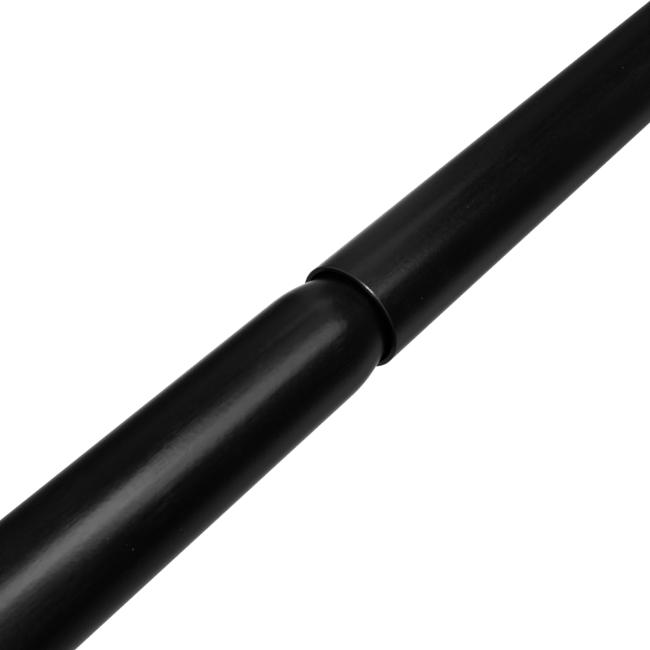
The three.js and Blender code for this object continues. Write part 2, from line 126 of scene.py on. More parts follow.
def curve(points, steps):
    """A cubic curve through the first and last of four points, without its first point."""
    a, b, c, d = (Vector(p) for p in points)
    made = []
    for i in range(1, steps + 1):
        t = i / steps
        u = 1 - t
        made.append(tuple(a * u**3 + b * 3 * u * u * t + c * 3 * u * t * t + d * t**3))
    return made


def smoothstep(value):
    t = min(1, max(0, value))
    return t * t * (3 - 2 * t)


# ---- Meshes ----
def piece(name, bm):
    """An object from a bmesh, with shared points merged and faces turned outward."""
    bmesh.ops.remove_doubles(bm, verts=bm.verts, dist=MERGE)
    bmesh.ops.recalc_face_normals(bm, faces=bm.faces)
    mesh = bpy.data.meshes.new(name)
    bm.to_mesh(mesh)
    bm.free()
    obj = bpy.data.objects.new(name, mesh)
    bpy.context.scene.collection.objects.link(obj)
    mesh.shade_smooth()
    return obj


def skin(bm, loops, closed=True):
    """Quads between neighbouring loops of points, each loop closed on itself."""
    rows = [[bm.verts.new(point) for point in loop] for loop in loops]
    pairs = list(zip(rows, rows[1:]))
    if closed:
        pairs.append((rows[-1], rows[0]))
    for one, two in pairs:
        for k in range(len(one)):
            after = (k + 1) % len(one)
            bm.faces.new((one[k], one[after], two[after], two[k]))
    return rows


def turned(name, outline, sides=COARSE, place=ON_AXIS):
    """A piece turned about the X axis from a closed outline of (station, radius)."""
    loops = []
    for station, radius in outline:
        loop = []
        for k in range(sides):
            angle = TURN * k / sides
            loop.append(place @ Vector((station, radius * math.cos(angle), radius * math.sin(angle))))
        loops.append(loop)
    bm = bmesh.new()
    skin(bm, loops)
    return piece(name, bm)


def box_reach(half_width, half_height, corner, sides=LOFT_SIDES):
    """Distances out to a rounded rectangle, at even angles."""
    made = []
    cx, cy = half_width - corner, half_height - corner
    for k in range(sides):
        along, up = abs(math.cos(TURN * k / sides)), abs(math.sin(TURN * k / sides))
        reach = min(half_width / max(along, MERGE), half_height / max(up, MERGE))
        if reach * along > cx and reach * up > cy:
            dot = along * cx + up * cy
            reach = dot + math.sqrt(max(dot * dot - cx * cx - cy * cy + corner * corner, 0))
        made.append(reach)
    return made


def round_reach(radius):
    return [radius] * LOFT_SIDES


def narrower(one, two):
    return [min(pair) for pair in zip(one, two)]


def wider(one, two):
    return [max(pair) for pair in zip(one, two)]


def lofted(name, levels, place=ON_AXIS, closed=False):
    """A piece through sections across the X axis; a level is (station, distances out at even angles)."""
    loops = []
    for station, reaches in levels:
        loop = []
        for k, reach in enumerate(reaches):
            angle = TURN * k / len(reaches)
            loop.append(place @ Vector((station, reach * math.cos(angle), reach * math.sin(angle))))
        loops.append(loop)
    bm = bmesh.new()
    rows = skin(bm, loops, closed)
    if not closed:
        bm.faces.new(rows[0])
        bm.faces.new(rows[-1])
    return piece(name, bm)


def slab(name, outline, low, high, edge=0.0, place=ON_AXIS):
    """A flat piece from an outline in XY, between two heights, with a bevel all round if edge is set."""
    bm = bmesh.new()
    rows = skin(bm, [[place @ Vector((x, y, z)) for x, y in outline] for z in (low, high)], closed=False)
    bm.faces.new(rows[0])
    bm.faces.new(rows[1])
    made = piece(name, bm)
    if edge:
        bevel = made.modifiers.new("edge", "BEVEL")
        bevel.width = edge
        bevel.segments = 4
        bevel.limit_method = "ANGLE"
        bevel.angle_limit = math.radians(50)
        baked(made)
    return made


def baked(obj):
    """Applies the object's modifiers to its mesh."""
    graph = bpy.context.evaluated_depsgraph_get()
    mesh = bpy.data.meshes.new_from_object(obj.evaluated_get(graph))
    obj.modifiers.clear()
    obj.data = mesh
    return obj


def carved(obj, *tools, join=False):
    """Cuts each tool out of the object, or joins it on, and throws the tool away."""
    for tool in tools:
        change = obj.modifiers.new("change", "BOOLEAN")
        change.operation = "UNION" if join else "DIFFERENCE"
        change.solver = "EXACT"
        change.object = tool
        baked(obj)
        bpy.data.objects.remove(tool)
    return obj


def melted(obj, voxel, passes):
    """Remeshes the object into an even skin and relaxes it, so that its parts flow into each other."""
    remesh = obj.modifiers.new("remesh", "REMESH")
    remesh.mode = "VOXEL"
    remesh.voxel_size = voxel
    relax = obj.modifiers.new("relax", "SMOOTH")
    relax.factor = 0.5
    relax.iterations = passes
    return baked(obj)


def even_shading(obj, sharp_degrees=40):
    """Smooth shading that keeps flat faces flat and hard edges hard."""
    obj.data.shade_smooth()
    bm = bmesh.new()
    bm.from_mesh(obj.data)
    limit = math.radians(sharp_degrees)
    for edge in bm.edges:
        edge.smooth = edge.calc_face_angle(0) < limit
    bm.to_mesh(obj.data)
    bm.free()
    weighted = obj.modifiers.new("even", "WEIGHTED_NORMAL")
    weighted.keep_sharp = True
    return obj


def bored_tube_shading(obj, straight_end):
    """Exact round shading on a drilled tube's straight part, whatever faces the drilling left."""
    mesh = obj.data
    normals = []
    smooth = [corner.vector.copy() for corner in mesh.corner_normals]
    for face in mesh.polygons:
        outward = face.center - Vector((face.center.x, 0, AXIS_HEIGHT))
        facing = face.normal.dot(outward.normalized())
        in_straight = face.center.x < straight_end
        for corner in face.loop_indices:
            point = mesh.vertices[mesh.loops[corner].vertex_index].co
            out = Vector((0, point.y, point.z - AXIS_HEIGHT)).normalized()
            if not in_straight:
                normals.append(smooth[corner])
            elif abs(facing) > 0.97:
                normals.append(out if facing > 0 else -out)
            else:
                normals.append(face.normal)
    mesh.normals_split_custom_set(normals)


def dress(obj, slot, body, *nodes):
    """Gives a piece its finish, the body it rides on, and the CAD nodes it stands for."""
    obj.data.materials.clear()
    obj.data.materials.append(FINISHES[slot])
    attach(obj, body)
    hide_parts(*nodes)
    return obj


# ---- Node building ----
def add_node(tree, kind, inputs, output=0, **settings):
    """A node with its settings and inputs. An input is a number, a tuple or another node's output."""
    made = tree.nodes.new(kind)
    for key, value in settings.items():
        setattr(made, key, value)
    for key, value in inputs.items():
        if isinstance(value, bpy.types.NodeSocket):
            tree.links.new(value, made.inputs[key])
        else:
            made.inputs[key].default_value = value
    return made.outputs[output]


def calculation(tree, operation, *values):
    return add_node(tree, "ShaderNodeMath", dict(enumerate(values)), operation=operation)


class Shade:
    """A Principled material under construction, with short ways to add its nodes."""

    def __init__(self, name, roughness, metallic=0.0, ior=1.5):
        self.material = bpy.data.materials.new(name)
        self.material.use_nodes = True
        self.tree = self.material.node_tree
        self.tree.nodes.clear()
        self.skin = self.tree.nodes.new("ShaderNodeBsdfPrincipled")
        self.skin.inputs["Roughness"].default_value = roughness
        self.skin.inputs["Metallic"].default_value = metallic
        self.skin.inputs["IOR"].default_value = ior
        surface = self.tree.nodes.new("ShaderNodeOutputMaterial").inputs["Surface"]
        self.tree.links.new(self.skin.outputs[0], surface)
        self.place = self.tree.nodes.new("ShaderNodeTexCoord").outputs["Object"]
        self.relief = None

    def add(self, kind, inputs, output=0, **settings):
        return add_node(self.tree, kind, inputs, output, **settings)

    def noise(self, scale, detail=2.0, stretch=(1, 1, 1), lean=(0, 0, 0)):
        """Noise on the piece's own coordinates, in metres, stretched along each axis and turned."""
        place = self.add("ShaderNodeMapping", {"Vector": self.place, "Scale": stretch, "Rotation": lean})
        return self.add("ShaderNodeTexNoise", {"Vector": place, "Scale": scale, "Detail": detail})

    def ramp(self, value, low, high, start=0.0, end=1.0):
        """A value carried from one range to another, held inside the second."""
        inputs = {"Value": value, "From Min": low, "From Max": high, "To Min": start, "To Max": end}
        return self.add("ShaderNodeMapRange", inputs)

    def math(self, operation, one, two=0.0):
        return calculation(self.tree, operation, one, two)

    def mix(self, share, one, two):
        return self.add("ShaderNodeMix", {0: share, 6: one, 7: two}, output=2, data_type="RGBA")

    def bump(self, height, depth):
        """Adds relief of a depth in metres, on top of any relief already there."""
        inputs = {"Height": height, "Distance": depth, "Strength": 1.0}
        if self.relief is not None:
            inputs["Normal"] = self.relief
        self.relief = self.add("ShaderNodeBump", inputs)

    def feed(self, name, value):
        self.tree.links.new(value, self.skin.inputs[name])

    def finished(self):
        if self.relief is not None:
            self.feed("Normal", self.relief)
        return self.material


def grey(level, warmth=0.0):
    """A near-neutral colour; warmth above nought leans it to brown."""
    return (level * (1 + warmth), level, level * (1 - warmth), 1)


def dust(shade, scale, share, size):
    """Scattered flecks: 1 on a fleck and 0 elsewhere. Only some cells hold one, of mixed sizes."""
    cell = {"Vector": shade.place, "Scale": scale, "Randomness": 1.0}
    away = shade.add("ShaderNodeTexVoronoi", cell, output="Distance")
    lot = shade.add("ShaderNodeTexVoronoi", cell, output="Color")
    pick = shade.add("ShaderNodeSeparateColor", {"Color": lot})
    radius = shade.ramp(pick, 1 - share, 1.0, 0.0, size)
    return shade.math("LESS_THAN", away, radius)


def hairlines(shade, lean, share, inside):
    """Sparse fine scratches that run nearly along the bar: 1 in a scratch and 0 elsewhere."""
    line = shade.noise(1.0, 0.0, (160, 4200, 4200), lean)
    return shade.math("MULTIPLY", shade.ramp(line, share, share + 0.08), inside)


def scuffed(shade):
    """Where the paint is scuffed: a few patches, and the socket just behind its rim."""
    patch = shade.ramp(shade.noise(60.0, 1.0), 0.58, 0.72)
    along = shade.add("ShaderNodeSeparateXYZ", {"Vector": shade.place})
    begins = shade.ramp(along, JOINT, JOINT + 1.5 * MM)
    fades = shade.ramp(along, JOINT + 4 * MM, JOINT + 20 * MM, 1.0, 0.0)
    uneven = shade.ramp(shade.noise(160.0, 2.0), 0.4, 0.62)
    near_rim = shade.math("MULTIPLY", shade.math("MULTIPLY", begins, fades), uneven)
    return shade.math("MAXIMUM", patch, near_rim)


def black_paint():
    """Semi-gloss black over drawn steel: soft streaks, faint peel, flecks and hairlines."""
    shade = Shade("black_paint", 0.25)
    streak = shade.noise(1.0, 4.0, (18, 700, 700))
    cloud = shade.noise(70.0, 3.0, (0.5, 1, 1))
    peel = shade.noise(700.0, 4.0)
    mottle = shade.noise(1.0, 3.0, (500, 1100, 1100))
    fleck = dust(shade, 330.0, 0.3, 0.085)
    inside = scuffed(shade)
    leaning_up = hairlines(shade, (0, 0.12, 0.2), 0.64, inside)
    leaning_down = hairlines(shade, (0, -0.2, -0.15), 0.66, inside)
    scratch = shade.math("ADD", leaning_up, leaning_down)
    marks = shade.math("ADD", fleck, shade.math("MULTIPLY", scratch, 0.2))
    base = shade.mix(shade.ramp(cloud, 0.35, 0.7), grey(0.0003), grey(0.0006))
    shade.feed("Base Color", shade.mix(marks, base, grey(0.022, 0.05)))
    along_streaks = shade.ramp(streak, 0.3, 0.7, 0.2, 0.25)
    in_clouds = shade.ramp(cloud, 0.3, 0.7, -0.012, 0.015)
    rough = shade.math("ADD", along_streaks, in_clouds)
    rough = shade.math("ADD", rough, shade.ramp(mottle, 0.3, 0.7, 0.0, 0.05))
    shade.feed("Roughness", shade.math("ADD", rough, shade.math("MULTIPLY", marks, 0.1)))
    shade.bump(peel, 0.00004)
    shade.bump(streak, 0.000014)
    shade.bump(fleck, 0.00003)
    shade.bump(scratch, -0.00001)
    return shade.finished()


def moulded_black():
    """Glass-filled plastic from a fine spark-eroded mould, with flow clouds in its colour and gloss."""
    shade = Shade("moulded_black", 0.5)
    grain = shade.noise(1500.0, 2.0)
    cloud = shade.noise(55.0, 4.0)
    shade.feed("Base Color", shade.mix(shade.ramp(cloud, 0.3, 0.7), grey(0.010), grey(0.015, -0.03)))
    on_grain = shade.ramp(grain, 0.3, 0.7, 0.44, 0.58)
    in_clouds = shade.ramp(cloud, 0, 1, -0.03, 0.03)
    shade.feed("Roughness", shade.math("ADD", on_grain, in_clouds))
    shade.bump(grain, 0.00006)
    return shade.finished()


def black_rubber():
    """Matt rubber with a dusty bloom in broad patches and a pebbled skin."""
    shade = Shade("black_rubber", 0.8)
    bloom = shade.noise(40.0, 5.0)
    pebble = shade.noise(900.0, 3.0)
    fleck = dust(shade, 260.0, 0.15, 0.1)
    base = shade.mix(shade.ramp(bloom, 0.35, 0.75), grey(0.012), grey(0.03, 0.04))
    shade.feed("Base Color", shade.mix(fleck, base, grey(0.12, 0.08)))
    shade.feed("Roughness", shade.ramp(pebble, 0.3, 0.7, 0.68, 0.88))
    shade.bump(pebble, 0.00009)
    return shade.finished()


def white_nylon():
    """Natural nylon: off-white, slightly waxy, with faint mould clouds."""
    shade = Shade("white_nylon", 0.45)
    shade.skin.inputs["Subsurface Weight"].default_value = 0.15
    shade.skin.inputs["Subsurface Radius"].default_value = (0.003, 0.0025, 0.002)
    cloud = shade.noise(90.0, 3.0)
    shade.feed("Base Color", shade.mix(shade.ramp(cloud, 0.3, 0.7), grey(0.62, 0.04), grey(0.72, 0.05)))
    shade.feed("Roughness", shade.ramp(shade.noise(600.0), 0.3, 0.7, 0.38, 0.52))
    shade.bump(shade.noise(700.0), 0.00002)
    return shade.finished()


def zinc_steel():
    """Bright zinc plate: silvery with a faint blue and straw cast and fine turning marks."""
    shade = Shade("zinc_steel", 0.3, metallic=1.0)
    cast = shade.noise(120.0, 3.0)
    turning = shade.noise(1.0, 2.0, (5000, 300, 300))
    base = shade.mix(shade.ramp(cast, 0.3, 0.7), (0.56, 0.6, 0.66, 1), (0.66, 0.62, 0.53, 1))
    shade.feed("Base Color", base)
    shade.feed("Roughness", shade.ramp(turning, 0.3, 0.7, 0.22, 0.42))
    shade.bump(turning, 0.00001)
    return shade.finished()


def spring_steel():
    """Rolled spring steel: grey with fine lines along the strip and a touch of oil sheen."""
    shade = Shade("spring_steel", 0.28, metallic=1.0)
    lines = shade.noise(1.0, 2.0, (60, 2500, 2500))
    base = shade.mix(shade.ramp(shade.noise(150.0), 0.3, 0.7), grey(0.34, -0.04), grey(0.46, 0.05))
    shade.feed("Base Color", base)
    shade.feed("Roughness", shade.ramp(lines, 0.3, 0.7, 0.2, 0.38))
    shade.bump(lines, 0.00001)
    return shade.finished()


FINISHES = {
    "black_paint": black_paint(),
    "moulded_black": moulded_black(),
    "black_rubber": black_rubber(),
    "white_nylon": white_nylon(),
    "zinc_steel": zinc_steel(),
    "spring_steel": spring_steel(),
}


# ---- Tubes ----
NECK_RADIUS = 13.2 * MM
NECK_TIP_RADIUS = NECK_RADIUS - 0.6 * MM
SHOULDER_START = -1.05  # in tube radii from the socket's rim
SHOULDER_LENGTH = 1.25
SHOULDER_DROP = 0.175
SHOULDER_SKEW = 1.35


def shoulder_share(along):
    """The shoulder's radius as a share of the tube's, at a distance from the rim in tube radii."""
    part = max(0, (along - SHOULDER_START) / SHOULDER_LENGTH) ** SHOULDER_SKEW
    return 1 - SHOULDER_DROP * smoothstep(part)


def upper_tube():
    """The main upper tube, whose cut lower end is the socket's rim."""
    outline = rounded([
        (JOINT, TUBE_BORE, 0.35 * MM),
        (JOINT, TUBE_RADIUS - 0.21 * MM, 0.06 * MM),
        (JOINT + 0.36 * MM, TUBE_RADIUS, 0.06 * MM),
        (UPPER_END, TUBE_RADIUS, 0.5 * MM),
        (UPPER_END, TUBE_BORE, 0.3 * MM),
    ], steps=6)
    tube = turned("upper_tube_skin", outline, FINE)
    return dress(even_shading(tube), "black_paint", "upper", "upper_tube")


def neck_outline(end):
    """The neck's outer line, from the shoulder's foot to its tip, with two rolled beads."""
    half_length, height = 2.6 * MM, 1.15 * MM
    points = []
    for bead in (JOINT + 14 * MM, JOINT + 46 * MM):
        for step in range(-8, 9):
            along = step / 8
            rise = (1 + math.cos(math.pi * along)) / 2
            points.append((bead + half_length * along, NECK_RADIUS + height * rise))
    return points + [(end - 2 * MM, NECK_RADIUS), (end, NECK_TIP_RADIUS)]


def main_tube():
    """The lower main tube: drilled for the length button, and swaged down to enter the socket."""
    start, end, radius = span("main_tube")
    steps = 40
    shoulder = []
    for i in range(steps + 1):
        along = SHOULDER_START + SHOULDER_LENGTH * i / steps
        shoulder.append((JOINT + along * TUBE_RADIUS, shoulder_share(along) * TUBE_RADIUS))
    outside = shoulder + neck_outline(end)
    inside = [(station, out - TUBE_WALL) for station, out in reversed(outside[:-1])]
    inside[0] = (end, NECK_TIP_RADIUS - TUBE_WALL)
    rim = rounded([(start, TUBE_BORE, 0.3 * MM), (start, radius, 0.4 * MM), outside[0][:2]])
    tube = turned("main_tube_skin", rim[:-1] + [Vector(p) for p in outside + inside], FINE)
    station = middle("length_button").x
    row_start = station - travel_of("telescope") - BUTTON_HOLE
    across = Matrix.Rotation(math.pi / 2, 4, "Z")
    inner, outer = TUBE_BORE - 3 * MM, TUBE_RADIUS + MM
    drill = rounded([
        (inner, 0),
        (inner, BUTTON_HOLE),
        (TUBE_RADIUS - 0.25 * MM, BUTTON_HOLE),
        (outer, BUTTON_HOLE + 0.9 * MM),
        (outer, 0),
    ])
    while station > row_start:
        place = Matrix.Translation((station, 0, AXIS_HEIGHT)) @ across
        carved(tube, turned("drill", drill, DRILL_SIDES, place))
        station -= HOLE_PITCH
    bored_tube_shading(tube, JOINT + SHOULDER_START * TUBE_RADIUS)
    return dress(tube, "black_paint", "main", "main_tube")


def adjusting_tube():
    """The slim tube that slides in the main one, with the button's hole and the plug's screw holes."""
    start, end, radius = span("adjusting_tube")
    bore = radius - TUBE_WALL
    outline = rounded([
        (start, bore, 0.3 * MM),
        (start, radius, 0.4 * MM),
        (end, radius, 0.4 * MM),
        (end, bore, 0.3 * MM),
    ])
    tube = turned("adjusting_tube_skin", outline, 128)
    drills = [(middle("length_button").x, "Z", math.pi / 2, BUTTON_HOLE)]
    for quarter in (math.pi / 2, -math.pi / 2):
        drills.append((middle("plug_screw_top").x, "Y", quarter, 1.6 * MM))
    inner, outer = bore - 2 * MM, radius + 2 * MM
    for station, axis, angle, hole in drills:
        place = Matrix.Translation((station, 0, AXIS_HEIGHT)) @ Matrix.Rotation(angle, 4, axis)
        drill = [(inner, 0), (inner, hole), (outer, hole), (outer, 0)]
        carved(tube, turned("drill", drill, DRILL_SIDES, place))
    bored_tube_shading(tube, end)
    return dress(tube, "black_paint", "lower", "adjusting_tube")


# ---- Collar, plug and button ----
def fluted(obj, count, depth, inner_radius, start, end):
    """Presses shallow flutes into the outside of a turned piece between two stations."""
    for vertex in obj.data.vertices:
        y, z = vertex.co.y, vertex.co.z - AXIS_HEIGHT
        radius = math.hypot(y, z)
        if radius < inner_radius or not start < vertex.co.x < end:
            continue
        wave = max(0, math.cos(count * math.atan2(z, y))) ** 0.6
        fade = smoothstep((vertex.co.x - start) / MM) * smoothstep((end - vertex.co.x) / MM)
        share = 1 - depth * wave * fade / radius
        vertex.co.y, vertex.co.z = y * share, AXIS_HEIGHT + z * share
    return obj


def end_collar():
    """The moulded collar on the main tube's lower end: a nose, a band of flutes and a tapered skirt."""
    start, end, radius = span("end_collar")
    slim = span("adjusting_tube")[2] + GAP
    seat = span("main_tube")[0] - GAP
    bore = TUBE_RADIUS + GAP
    band_start, band_end = start + 5 * MM, start + 16 * MM
    steps = 26
    band = []
    for i in range(steps + 1):
        band.append((band_start + (band_end - band_start) * i / steps, radius))
    outline = rounded([
        (start, slim, 0.5 * MM),
        (start, radius - 3 * MM, 1.5 * MM),
        (start + 2.6 * MM, radius, 1.6 * MM),
        *band,
        (end - 8 * MM, radius, 3 * MM),
        (end, TUBE_RADIUS + 1.4 * MM, 0.7 * MM),
        (end, bore, 0.2 * MM),
        (seat, bore),
        (seat, slim),
    ], steps=6)
    collar = turned("end_collar_moulding", outline, 240)
    fluted(collar, count=30, depth=0.55 * MM, inner_radius=radius - 0.5 * MM,
           start=band_start, end=band_end)
    return dress(even_shading(collar, 50), "moulded_black", "main", "end_collar")


def foot_plug():
    """The moulded plug that closes the slim tube's lower end and holds the ball stud."""
    start, end, radius = span("foot_plug")
    flange_end = start + 3 * MM
    bore = 3.8 * MM
    inner = span("adjusting_tube")[2] - TUBE_WALL - GAP
    outline = rounded([
        (start, bore, 0.3 * MM),
        (start, radius, 1.1 * MM),
        (flange_end, radius, 0.2 * MM),
        (flange_end, inner),
        (end, inner, 0.6 * MM),
        (end, bore),
    ])
    plug = even_shading(turned("foot_plug_moulding", outline))
    return dress(plug, "moulded_black", "lower", "foot_plug")


def length_button():
    """The plated push button, domed where it stands out of its hole."""
    low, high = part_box("length_button")
    here = middle("length_button")
    place = Matrix.Translation((here.x, 0, here.z)) @ Matrix.Rotation(math.pi / 2, 4, "Z")
    flange, pin = 5 * MM, 3.6 * MM
    flange_top = low.y + 1.2 * MM
    outline = rounded([
        (low.y, 0),
        (low.y, flange, 0.2 * MM),
        (flange_top, flange, 0.2 * MM),
        (flange_top, pin),
        (high.y - 1.4 * MM, pin, 0.5 * MM),
        (high.y - 0.3 * MM, 2.2 * MM, 1.2 * MM),
        (high.y, 0),
    ], steps=6)
    button = even_shading(turned("length_button_pin", outline, 48, place))
    return dress(button, "zinc_steel", "button", "length_button")


def button_spring():
    """The hairpin leaf under the button: two arms joined by a round bend."""
    low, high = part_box("button_spring")
    thickness = 0.8 * MM
    outer = (high.y - low.y) / 2
    centre = (low.x + outer, (high.y + low.y) / 2)
    outline = [(high.x, high.y), *arc(centre, outer, 90, 270, 24), (high.x, low.y)]
    outline += [(high.x, low.y + thickness), *arc(centre, outer - thickness, 270, 90, 24)]
    outline += [(high.x, high.y - thickness)]
    half = (high.z - low.z) / 2
    spring = slab("button_spring_leaf", outline, -half, half, 0.12 * MM)
    dress(even_shading(spring), "spring_steel", "lower", "button_spring")
    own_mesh(spring)
    return spring


# ---- Screws ----
def plus_reach(arm, half_width):
    """Distances out to a plus sign, at even angles."""
    return wider(box_reach(arm, half_width, 0, MEDIUM), box_reach(half_width, arm, 0, MEDIUM))


def pan_screw(node, place, length, body, head_radius, head_height, shank):
    """A pan-head screw with a cross recess, along its own X from its tip at 0 to its crown."""
    seat = length - head_height
    outline = rounded([
        (0, 0),
        (0, shank),
        (seat, shank),
        (seat, head_radius, 0.15 * MM),
        (seat + 0.55 * head_height, head_radius * 0.96, 0.5 * MM),
        (length, head_radius * 0.5, 0.9 * MM),
        (length, 0),
    ])
    screw = turned(node + "_pan", outline, 48, place)
    depth = 0.62 * head_height
    wide = plus_reach(head_radius * 0.56, head_radius * 0.12)
    narrow = plus_reach(head_radius * 0.34, head_radius * 0.09)
    carved(screw, lofted("recess", [(length - depth, narrow), (length + MM, wide)], place))
    return dress(even_shading(screw), "zinc_steel", body, node)


def standing_screw(node, body, **sizes):
    """A radial screw, standing on its tube's top or hanging from its underside."""
    low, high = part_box(node)
    outward = 1 if node.endswith("top") else -1
    tip = low.z if outward > 0 else high.z
    turn = Matrix.Rotation(-outward * math.pi / 2, 4, "Y")
    place = Matrix.Translation((middle(node).x, 0, tip)) @ turn @ Matrix.Rotation(0.4 * outward, 4, "X")
    return pan_screw(node, place, high.z - low.z, body, **sizes)


def foot_screw(number):
    node = f"foot_screw_{number}"
    low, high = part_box(node)
    here = middle(node)
    turn = Matrix.Rotation(0.5 * number, 4, "X")
    place = Matrix.Translation((low.x, here.y, here.z)) @ turn
    sizes = {"head_radius": 3.2 * MM, "head_height": 2 * MM, "shank": 1.6 * MM}
    return pan_screw(node, place, high.x - low.x, "foot", **sizes)


# ---- Foot ----
BALL_RADIUS = 11 * MM
BALL_CENTRE = span("ball_stud")[0] + BALL_RADIUS
SOCKET_CAVITY = 13.5 * MM
PLATE_CORNER = 7.5 * MM


def ball_stud():
    """The plated ball, its stem and its shoulder, turned in one piece."""
    end = span("ball_stud")[1]
    plug = span("foot_plug")
    stem, collar, tail = 3.5 * MM, 6.5 * MM, 3 * MM
    collar_end = plug[0] - GAP
    collar_start = collar_end - 2.4 * MM
    centre = (BALL_CENTRE, 0)
    neck = math.degrees(math.asin(stem / BALL_RADIUS))
    outline = [Vector(p) for p in arc(centre, BALL_RADIUS, 180, neck + 1, 40)]
    outline += rounded([
        (centre[0] + BALL_RADIUS * math.cos(math.radians(neck)), stem, 0.5 * MM),
        (collar_start, stem, 0.4 * MM),
        (collar_start, collar, 0.4 * MM),
        (collar_end, collar, 0.2 * MM),
        (collar_end, stem),
        (plug[1] + GAP, stem),
        (plug[1] + GAP, tail),
        (end, tail, 0.5 * MM),
        (end, 0),
    ])
    stud = even_shading(turned("ball_stud_turned", outline, MEDIUM))
    return dress(stud, "zinc_steel", "stud", "ball_stud")


def socket_liner():
    """The nylon cup that grips the ball, with rounded lips."""
    centre = (BALL_CENTRE, 0)
    outer = span("socket_liner")[2]
    lip = (outer + BALL_RADIUS + GAP) / 2
    outline = arc(centre, outer, 150, 61.5, 24) + arc(centre, lip, 60, 60, 1)
    outline += arc(centre, BALL_RADIUS + GAP, 61.5, 150, 24)
    liner = even_shading(turned("socket_liner_cup", outline, MEDIUM))
    return dress(liner, "white_nylon", "liner", "socket_liner")


def retaining_ring():
    """The screwed ring that keeps the ball in, with spanner flutes round its edge."""
    start, end, radius = span("retaining_ring")
    centre = (BALL_CENTRE, 0)
    boss_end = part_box("foot_socket")[1].x
    thread = 14.9 * MM
    outline = [Vector(p) for p in arc(centre, SOCKET_CAVITY, 88, 59, 12)]
    edge = [(boss_end + GAP + (end - boss_end - GAP) * 0.55 * i / 6, radius) for i in range(6, -1, -1)]
    outline += rounded([
        (end, 13.8 * MM, 0.5 * MM),
        (end, radius, 1.1 * MM),
        *edge,
        (boss_end + GAP, thread),
        (start, thread),
    ])
    ring = turned("retaining_ring_moulding", outline, 192)
    fluted(ring, count=12, depth=0.7 * MM, inner_radius=radius - 1.3 * MM,
           start=boss_end + 0.2 * MM, end=end + 2 * MM)
    return dress(even_shading(ring, 50), "moulded_black", "foot", "retaining_ring")


def foot_socket():
    """The moulded flange and boss that hold the ball, with a soft root between them."""
    low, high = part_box("foot_socket")
    half_width, half_height, corner = high.y, high.z - AXIS_HEIGHT, 7 * MM
    boss = half_height
    face = low.x + 4 * MM
    brow = 1.1 * MM  # rounds the flange's upper edge
    root = 2.6 * MM  # fills the corner under the boss
    levels = []

    def flange(station, inset):
        levels.append((station, box_reach(half_width - inset, half_height - inset, corner - inset)))

    for station, inset in ((low.x, 0.5), (low.x + 0.15 * MM, 0.15), (low.x + 0.5 * MM, 0)):
        flange(station, inset * MM)
    for step in range(5):
        angle = math.pi / 2 * step / 4
        flange(face - brow * (1 - math.sin(angle)), brow * (1 - math.cos(angle)))
    top = levels[-1][1]
    for step in range(7):
        angle = math.pi / 2 * step / 6
        out = boss + root * (1 - math.sin(angle))
        levels.append((face + root * (1 - math.cos(angle)), narrower(top, round_reach(out))))
    edge = 0.5 * MM
    for station, radius in ((face + 3.4 * MM, boss), (high.x - edge, boss), (high.x, boss - edge)):
        levels.append((station, round_reach(radius)))
    thread = 15.2 * MM
    levels += [(high.x, round_reach(thread + 0.3 * MM)), (high.x - 0.3 * MM, round_reach(thread))]
    levels.append((BALL_CENTRE, round_reach(thread)))
    for station, radius in arc((BALL_CENTRE, 0), SOCKET_CAVITY, 90, 178, 14):
        levels.append((station, round_reach(radius)))
    socket = even_shading(lofted("foot_socket_moulding", levels))
    return dress(socket, "moulded_black", "foot", "foot_socket")


def foot_plate():
    """The plated steel plate between the pad and the flange."""
    low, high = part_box("foot_plate")
    half_height = high.z - AXIS_HEIGHT
    levels = []
    for station, inset in ((low.x, 0.35), (low.x, 0), (high.x - 0.35 * MM, 0), (high.x, 0.35)):
        inset *= MM
        levels.append((station, box_reach(high.y - inset, half_height - inset, PLATE_CORNER - inset)))
    plate = even_shading(lofted("foot_plate_blank", levels))
    return dress(plate, "zinc_steel", "foot", "foot_plate")


def foot_pad():
    """The rubber pad, with a rim about the plate and round-bottomed grooves in its sole."""
    low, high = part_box("foot_pad")
    half_width, half_height, corner = high.y, high.z - AXIS_HEIGHT, 10 * MM
    plate_low, plate_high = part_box("foot_plate")
    recess = (plate_high.y + GAP, plate_high.z - AXIS_HEIGHT + GAP, PLATE_CORNER)
    floor = plate_low.x - GAP
    sole_edge, rim_edge = 1.6 * MM, 0.9 * MM
    levels = []
    for step in range(6):
        angle = math.pi / 2 * step / 5
        inset = sole_edge * (1 - math.sin(angle))
        station = low.x + sole_edge * (1 - math.cos(angle))
        levels.append((station, box_reach(half_width - inset, half_height - inset, corner - inset)))
    bead = 0.45 * MM
    for station, inset in ((6.5, 0), (7, 1), (8, 1), (8.5, 0)):
        reach = box_reach(half_width - inset * bead, half_height - inset * bead, corner - inset * bead)
        levels.append((low.x + station * MM, reach))
    for step in range(6):
        angle = math.pi / 2 * step / 5
        inset = rim_edge * (1 - math.cos(angle))
        station = high.x - rim_edge * (1 - math.sin(angle))
        levels.append((station, box_reach(half_width - inset, half_height - inset, corner - inset)))
    chamfer = 0.4 * MM
    levels.append((high.x, box_reach(*(part + chamfer for part in recess))))
    levels += [(high.x - chamfer, box_reach(*recess)), (floor, box_reach(*recess))]
    pad = lofted("foot_pad_rubber", levels)
    pitch = 8 * MM
    below, groove_floor = low.x - 2 * MM, low.x + 2.5 * MM
    for number in range(-4, 4):
        y = (number + 0.5) * pitch
        section = rounded([
            (below, y - 1.3 * MM),
            (groove_floor, y - 1.1 * MM, 0.9 * MM),
            (groove_floor, y + 1.1 * MM, 0.9 * MM),
            (below, y + 1.3 * MM),
        ])
        carved(pad, slab("groove", section, -half_height - MM, half_height + MM))
    return dress(even_shading(pad), "black_rubber", "foot", "foot_pad")


